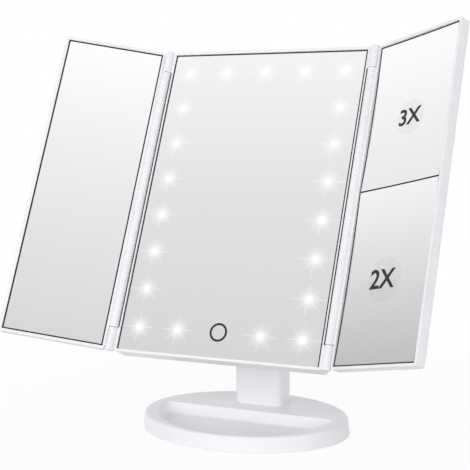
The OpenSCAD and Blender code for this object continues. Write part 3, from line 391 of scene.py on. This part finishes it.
def makeWindowLight():
    # glass with its silvering etched away and lit from behind, so white-hot, a little uneven with the etching
    material, tree = newMaterial("etched window, lit")
    spot = addNode(tree, "ShaderNodeTexCoord").outputs["Object"]
    etch = addNode(tree, "ShaderNodeTexNoise", {"Vector": spot, "Scale": 1 / (lit["etchMm"] * mm)})
    power = addNode(tree, "ShaderNodeMapRange",
                    {"Value": etch.outputs[0], "To Min": lit["powerLow"], "To Max": lit["powerHigh"]})
    shader = addNode(tree, "ShaderNodeBsdfPrincipled",
                     {"Base Color": srgb("#FFFFFF"), "Roughness": 0.6, "Emission Color": srgb("#FFFFFF"),
                      "Emission Strength": power.outputs[0]})
    material.cycles.emission_sampling = "NONE"   # the glare shows its light on the glass
    finishMaterial(tree, shader)
    return material


def makeGlare():
    # painted glare round a lit window: a soft halo and fine star rays in emission, fading out over the glass
    material, tree = newMaterial("painted glare on glass")
    flat = addNode(tree, "ShaderNodeUVMap", uv_map="glare").outputs[0]
    level = addNode(tree, "ShaderNodeVectorMath", {0: flat, 1: (1, 0, 0)}, operation="MULTIPLY")
    sideways = addNode(tree, "ShaderNodeVectorMath", {0: level.outputs[0]}, operation="ABSOLUTE")
    upright = addNode(tree, "ShaderNodeVectorMath", {0: flat, 1: (0, 1, 0)}, operation="MULTIPLY")
    folded = addNode(tree, "ShaderNodeVectorMath", {0: sideways.outputs[0], 1: upright.outputs[0]},
                     operation="ADD").outputs[0]
    far = addNode(tree, "ShaderNodeVectorMath", {0: flat}, operation="LENGTH").outputs["Value"]
    inward = addNode(tree, "ShaderNodeMapRange",
                     {"Value": far, "From Min": lit["haloCore"], "From Max": lit["haloEnd"],
                      "To Min": 1.0, "To Max": 0.0})
    glow = addNode(tree, "ShaderNodeMath", {0: inward.outputs[0], 1: lit["haloFade"]},
                   operation="POWER").outputs[0]
    # the paired rays are drawn on the folded ground, so that each shows on both sides
    rays = [(folded, *ray) for ray in lit["rays"]] + [(flat, *ray) for ray in lit["loneRays"]]
    for ground, turn, reach in rays:
        cosine, sine = math.cos(math.radians(turn)), math.sin(math.radians(turn))
        along = addNode(tree, "ShaderNodeVectorMath", {0: ground, 1: (cosine, sine, 0)},
                        operation="DOT_PRODUCT")
        across = addNode(tree, "ShaderNodeVectorMath", {0: ground, 1: (sine, -cosine, 0)},
                         operation="DOT_PRODUCT")
        off = addNode(tree, "ShaderNodeMath", {0: across.outputs["Value"]}, operation="ABSOLUTE")
        taper = addNode(tree, "ShaderNodeMapRange",
                        {"Value": along.outputs["Value"], "From Max": reach,
                         "To Min": 1.0, "To Max": 0.0}).outputs[0]
        width = addNode(tree, "ShaderNodeMath", {0: taper, 1: lit["rayW"], 2: lit["tipW"]},
                        operation="MULTIPLY_ADD")
        line = addNode(tree, "ShaderNodeMapRange",
                       {"Value": off.outputs[0], "From Max": width.outputs[0],
                        "To Min": lit["rayGain"], "To Max": 0.0})
        ahead = addNode(tree, "ShaderNodeMath", {0: along.outputs["Value"], 1: 0.0}, operation="GREATER_THAN")
        fade = addNode(tree, "ShaderNodeMath", {0: taper, 1: lit["rayFade"]}, operation="POWER")
        faded = addNode(tree, "ShaderNodeMath", {0: fade.outputs[0], 1: ahead.outputs[0]},
                        operation="MULTIPLY")
        ray = addNode(tree, "ShaderNodeMath", {0: line.outputs[0], 1: faded.outputs[0]}, operation="MULTIPLY")
        glow = addNode(tree, "ShaderNodeMath", {0: glow, 1: ray.outputs[0]}, operation="MAXIMUM").outputs[0]
    shader = addNode(tree, "ShaderNodeBsdfPrincipled",
                     {"Base Color": srgb("#000000"), "Roughness": 1.0, "Specular IOR Level": 0.0,
                      "Emission Color": srgb("#FFFFFF"), "Emission Strength": 1.0, "Alpha": glow})
    material.cycles.emission_sampling = "NONE"   # the glare lights nothing round it
    finishMaterial(tree, shader)
    return material


def makeDiscs(name, radius, proud, segments, material, uvName=None):
    # a disc over each light of the centre mirror
    bm = bmesh.new()
    layer = bm.loops.layers.uv.new(uvName) if uvName else None
    for x, z in lightSpots:
        made = bmesh.ops.create_circle(bm, cap_ends=True, segments=segments, radius=radius)["verts"]
        if layer:
            for vert in made:
                for loop in vert.link_loops:
                    loop[layer].uv = vert.co.x / radius, vert.co.y / radius
        bmesh.ops.transform(bm, matrix=facePlace(panelPlace, x, -proud, z), verts=made)
    newPiece(name, bm, [material], "centre_panel")


makeDiscs("light_windows", lit["windowD"] / 2, 2 * lit["proud"], lit["windowSides"], makeWindowLight())
makeDiscs("light_glare", lit["glareR"], lit["proud"], lit["glareSides"], makeGlare(), "glare")

# the touch ring, printed dark on the glass, in mm
ring = {"z": -101.2, "outer": 13.7, "line": 1.6, "proud": 0.05, "sides": 64}
bm = bmesh.new()
for radius in (ring["outer"] / 2, ring["outer"] / 2 - ring["line"]):
    bmesh.ops.create_circle(bm, segments=ring["sides"], radius=radius)
bmesh.ops.bridge_loops(bm, edges=bm.edges[:])
bmesh.ops.recalc_face_normals(bm, faces=bm.faces)
bmesh.ops.transform(bm, matrix=facePlace(panelPlace, 0, -ring["proud"], ring["z"]), verts=bm.verts)
newPiece("touch_ring", bm, [blackInk], "centre_panel")
print("lights and touch ring made")

# the marks on the magnifying mirrors, in mm: a faint frosted patch with the power in black on it.
# typePerTall is the type's size over the height of its capitals, and bold is how far its strokes are swelled
mark = {"bold": 0.3, "typePerTall": 1.37, "inkDeep": 0.01, "inkProud": 0.12,
        "patchProud": 0.03, "patchSides": 48, "frostMm": 3, "frostRough": 0.35, "frostShare": 0.14,
        "3X": {"tall": 12.3, "x": 43.5, "z": 56.5, "patchR": 13.0, "patchX": 44.5, "patchZ": 56.5},
        "2X": {"tall": 13.8, "x": 39.8, "z": -60.6, "patchR": 15.7, "patchX": 42.2, "patchZ": -60.6}}


def makeFrost():
    # glass lightly frosted in a disc: a shade away from the mirror round it, and duller
    material, tree = newMaterial("faint frosted patch")
    spot = addNode(tree, "ShaderNodeTexCoord").outputs["Object"]
    frosting = addNode(tree, "ShaderNodeTexNoise", {"Vector": spot, "Scale": 1 / (mark["frostMm"] * mm)})
    tone = addNode(tree, "ShaderNodeValToRGB", {"Fac": frosting.outputs[0]},
                   stops=[(0.3, "#F2F2F2"), (0.7, "#F8F8F8")])
    shader = addNode(tree, "ShaderNodeBsdfPrincipled",
                     {"Base Color": tone.outputs[0], "Roughness": mark["frostRough"], "Metallic": 1.0,
                      "Alpha": mark["frostShare"]})
    finishMaterial(tree, shader)
    return material


def drawLetters(text, tall):
    # the letters as a flat mesh round the origin
    curve = bpy.data.curves.new("mark_" + text, "FONT")
    curve.body = text
    curve.align_x = "CENTER"
    curve.align_y = "CENTER"
    curve.size = tall * mark["typePerTall"]
    curve.offset = mark["bold"]
    curve.extrude = mark["inkDeep"]
    holder = bpy.data.objects.new("mark_" + text, curve)
    bpy.context.scene.collection.objects.link(holder)
    bpy.context.view_layer.update()
    mesh = bpy.data.meshes.new_from_object(holder)
    bpy.data.objects.remove(holder)
    letters = bmesh.new()
    letters.from_mesh(mesh)
    bpy.data.meshes.remove(mesh)
    return letters


def makeMark(text, glassSize):
    # the patch and the letters are drawn flat and then laid in the dish
    size = mark[text]
    patch = bmesh.new()
    bmesh.ops.create_circle(patch, cap_ends=True, segments=mark["patchSides"], radius=size["patchR"])
    letters = drawLetters(text, size["tall"])
    for bm, name, material, x, z, proud in (
            (patch, "patch_", frost, size["patchX"], size["patchZ"], mark["patchProud"]),
            (letters, "mark_", blackInk, size["x"], size["z"], mark["inkProud"])):
        for vert in bm.verts:
            across, up, out = vert.co
            depth = dishDepth(glassSize, x + across - glassSize["x"], z + up - glassSize["z"])
            spot = Vector((x + across, glassSize["frontY"] + depth - proud - out, z + up))
            vert.co = rightPlace @ (spot * mm)
        newPiece(name + text, bm, [material], "right_wing")


frost = makeFrost()
makeMark("3X", glasses["strong"])
makeMark("2X", glasses["weak"])
print("marks made")


def seenAsWhite(tree):
    # 1 for what the camera sees itself, in a reflection or through glass, and 0 for the light on the object
    path = addNode(tree, "ShaderNodeLightPath")
    seen = addNode(tree, "ShaderNodeMath",
                   {0: path.outputs["Is Camera Ray"], 1: path.outputs["Is Glossy Ray"]}, operation="MAXIMUM")
    seen = addNode(tree, "ShaderNodeMath",
                   {0: seen.outputs[0], 1: path.outputs["Is Transmission Ray"]}, operation="MAXIMUM")
    return seen.outputs[0]


# half the floor's side in metres, the share of white by the object, and from where to where that share rises
floorLook = {"halfSide": 3.0, "nearShare": 0.93, "nearM": 0.12, "farM": 0.45, "fibreMm": 1.5}


def makeFloor():
    # matt paper sweep: it takes the object's shadow close by, and further out it is as white as the backdrop
    material, tree = newMaterial("pale paper floor")
    seen = seenAsWhite(tree)
    spot = addNode(tree, "ShaderNodeTexCoord").outputs["Object"]
    far = addNode(tree, "ShaderNodeVectorMath", {0: spot}, operation="LENGTH").outputs["Value"]
    white = addNode(tree, "ShaderNodeMapRange",
                    {"Value": far, "From Min": floorLook["nearM"], "From Max": floorLook["farM"],
                     "To Min": floorLook["nearShare"], "To Max": 1.0})
    share = addNode(tree, "ShaderNodeMath", {0: seen, 1: white.outputs[0]}, operation="MULTIPLY")
    fibre = addNode(tree, "ShaderNodeTexNoise",
                    {"Vector": spot, "Scale": 1 / (floorLook["fibreMm"] * mm), "Detail": 3.0})
    tone = addNode(tree, "ShaderNodeValToRGB", {"Fac": fibre.outputs[0]},
                   stops=[(0.3, "#F0F0F0"), (0.7, "#F4F4F4")])
    paper = addNode(tree, "ShaderNodeBsdfDiffuse", {"Color": tone.outputs[0]})
    glow = addNode(tree, "ShaderNodeEmission", {"Color": srgb("#FFFFFF"), "Strength": 1.0})
    mixed = addNode(tree, "ShaderNodeMixShader",
                    {0: share.outputs[0], 1: paper.outputs[0], 2: glow.outputs[0]})
    finishMaterial(tree, mixed)
    bm = bmesh.new()
    bmesh.ops.create_grid(bm, x_segments=1, y_segments=1, size=floorLook["halfSide"])
    mesh = bpy.data.meshes.new("floor")
    bm.to_mesh(mesh)
    bm.free()
    mesh.materials.append(material)
    floor = bpy.data.objects.new("floor", mesh)
    bpy.context.scene.collection.objects.link(floor)


makeFloor()

# the studio in metres and watts: each softbox's place, its two sides and its power. All face the middle
studio = {"middle": (0, 0, 0.12), "softLight": 0.5,
          "lamps": {"left_softbox": ((-1.0, -1.7, 0.3), (1.0, 0.8), 8.5),
                    "high_softbox": ((-0.3, -1.8, 0.9), (1.0, 0.8), 10),
                    "right_softbox": ((1.6, -0.9, 0.4), (0.6, 0.6), 7.5),
                    "rear_softbox": ((-0.8, 1.7, 0.2), (0.8, 0.5), 5)}}


def addLamp(name, spot, size, power):
    lamp = bpy.data.lights.new(name, "AREA")
    lamp.shape = "RECTANGLE"
    lamp.size, lamp.size_y = size
    lamp.energy = power
    holder = bpy.data.objects.new(name, lamp)
    holder.location = spot
    holder.rotation_mode = "QUATERNION"
    holder.rotation_quaternion = (Vector(studio["middle"]) - Vector(spot)).to_track_quat("-Z", "Y")
    holder.visible_glossy = False
    bpy.context.scene.collection.objects.link(holder)


def makeBackdrop():
    # an even studio: a soft light on the object, and plain white behind it and in its mirrors
    world = bpy.data.worlds.new("studio")
    bpy.context.scene.world = world
    world.use_nodes = True
    tree = world.node_tree
    tree.nodes.clear()
    seen = seenAsWhite(tree)
    soft = addNode(tree, "ShaderNodeBackground", {"Color": srgb("#FFFFFF"), "Strength": studio["softLight"]})
    white = addNode(tree, "ShaderNodeBackground", {"Color": srgb("#FFFFFF"), "Strength": 1.0})
    mixed = addNode(tree, "ShaderNodeMixShader", {0: seen, 1: soft.outputs[0], 2: white.outputs[0]})
    addNode(tree, "ShaderNodeOutputWorld", {"Surface": mixed.outputs[0]})


for name, (spot, size, power) in studio["lamps"].items():
    addLamp(name, spot, size, power)
makeBackdrop()
bpy.context.scene.view_settings.view_transform = "Standard"


# the camera, at the photograph's angle: degrees, metres, and the lens and sensor in mm
shot = {"azimuth": 25.62, "elevation": 7.193, "roll": -0.978, "distance": 0.85683, "lens": 88.69,
        "sensor": 36, "nearest": 0.05, "target": (-0.00574, 0.0, 0.14609)}


def addCamera():
    azimuth, elevation, roll = (math.radians(shot[key]) for key in ("azimuth", "elevation", "roll"))
    backward = Vector((math.sin(azimuth) * math.cos(elevation), -math.cos(azimuth) * math.cos(elevation),
                       math.sin(elevation)))
    level = Vector((math.cos(azimuth), math.sin(azimuth), 0))
    upright = backward.cross(level)
    right = level * math.cos(roll) + upright * math.sin(roll)
    up = upright * math.cos(roll) - level * math.sin(roll)
    camera = bpy.data.cameras.new("camera")
    camera.lens = shot["lens"]
    camera.sensor_width = shot["sensor"]
    camera.clip_start = shot["nearest"]
    holder = bpy.data.objects.new("camera", camera)
    pose = Matrix((right, up, backward)).transposed().to_4x4()
    pose.translation = Vector(shot["target"]) + backward * shot["distance"]
    holder.matrix_world = pose
    bpy.context.scene.collection.objects.link(holder)
    bpy.context.scene.camera = holder


addCamera()
print("stage and camera set")
